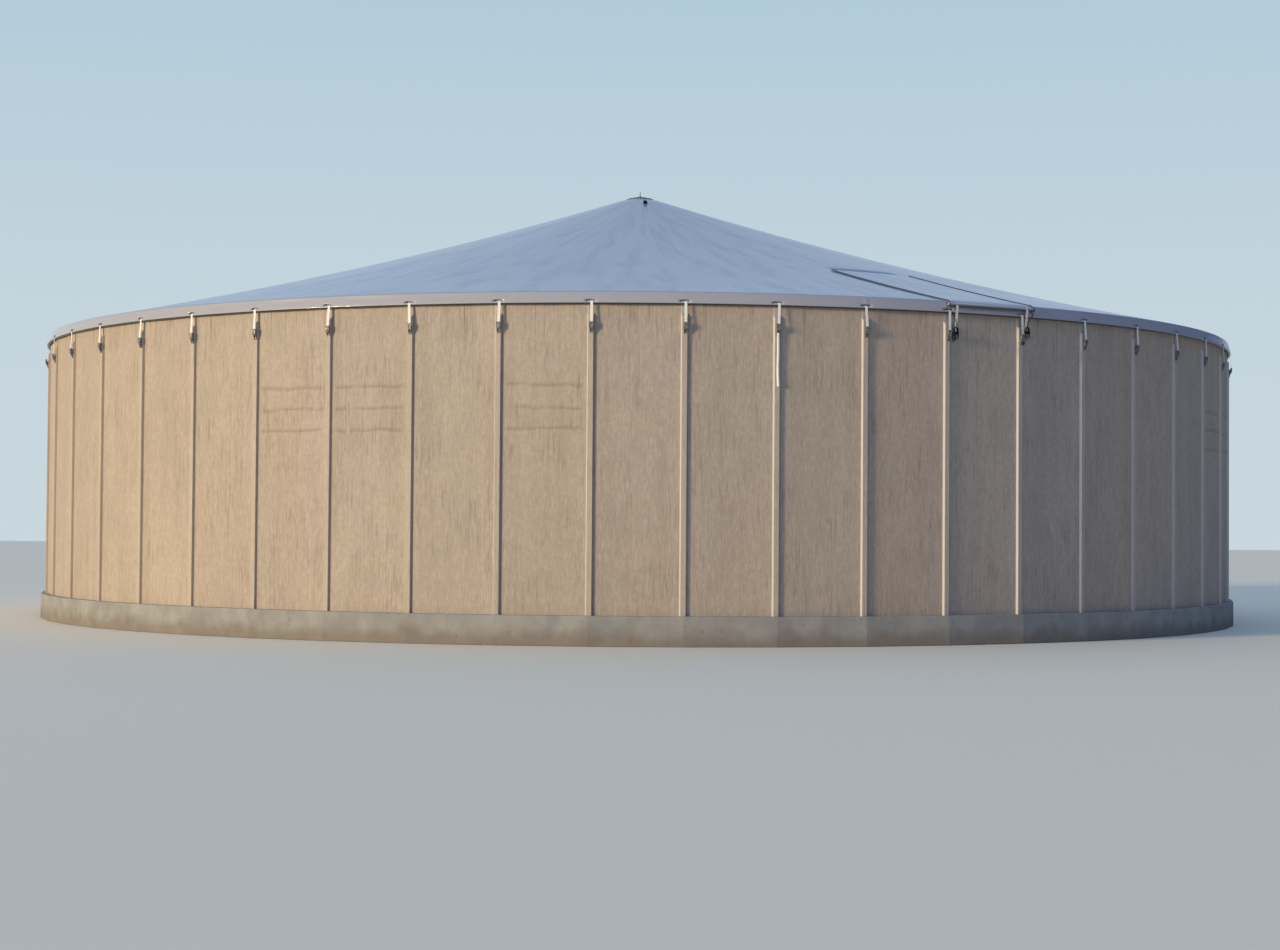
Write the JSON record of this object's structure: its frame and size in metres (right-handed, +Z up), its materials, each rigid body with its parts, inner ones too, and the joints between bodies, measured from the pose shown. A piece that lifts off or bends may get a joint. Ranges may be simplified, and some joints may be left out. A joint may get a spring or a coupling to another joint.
{
  "type": "slurry storage tank",
  "caption": "Round precast concrete slurry tank with ribbed panel walls on a concrete foundation and a tent-shaped fabric cover held down by ratchet straps.",
  "frame": {"origin": "centre of the foundation's underside", "axes": "+Z up; -Y is the front, the side in the picture; +X is to the right for someone facing that side"},
  "size_m": [20.0384, 20.0384, 7.4125],
  "materials": {
    "wall_concrete": "fair-faced precast concrete, matt, with vertical run marks",
    "slab_concrete": "cast concrete, matt",
    "cover_fabric": "coated polyester sheet, satin",
    "galvanised_steel": "galvanised",
    "ratchet_steel": "dark passivated steel, semi-matt",
    "white_webbing": "woven polyester webbing",
    "black_rope": "braided polypropylene",
    "cap_plastic": "moulded plastic, matt"
  },
  "bodies": {
    "root": {"foundation_slab": "slab_concrete", "wall_section_01": "wall_concrete", "wall_section_02": "wall_concrete", "wall_section_03": "wall_concrete", "wall_section_04": "wall_concrete", "wall_section_05": "wall_concrete", "wall_section_06": "wall_concrete", "wall_section_07": "wall_concrete", "wall_section_08": "wall_concrete", "wall_section_09": "wall_concrete", "wall_section_10": "wall_concrete", "wall_section_11": "wall_concrete", "wall_section_12": "wall_concrete", "wall_section_13": "wall_concrete", "roof_cover": "cover_fabric", "hem_tensioners_01": "galvanised_steel", "hem_tensioners_02": "galvanised_steel", "hem_tensioners_03": "galvanised_steel", "hem_tensioners_04": "galvanised_steel", "hem_tensioners_05": "galvanised_steel", "hem_tensioners_06": "galvanised_steel", "hem_tensioners_07": "galvanised_steel", "hem_tensioners_08": "galvanised_steel", "hem_tensioners_09": "galvanised_steel", "hem_tensioners_10": "galvanised_steel", "hem_tensioners_11": "galvanised_steel", "hem_tensioners_12": "galvanised_steel", "hem_tensioners_13": "galvanised_steel", "access_flap": "cover_fabric", "flap_tensioners": "galvanised_steel", "flap_rope_left": "black_rope", "flap_rope_right": "black_rope", "rope_hank_left": "black_rope", "rope_hank_right": "black_rope", "loose_strap_tail": "white_webbing", "centre_post": "galvanised_steel", "crown_plate": "galvanised_steel", "crown_cap": "cap_plastic", "crown_spike": "galvanised_steel", "roof_vent": "cap_plastic"}
  },
  "joints": []
}
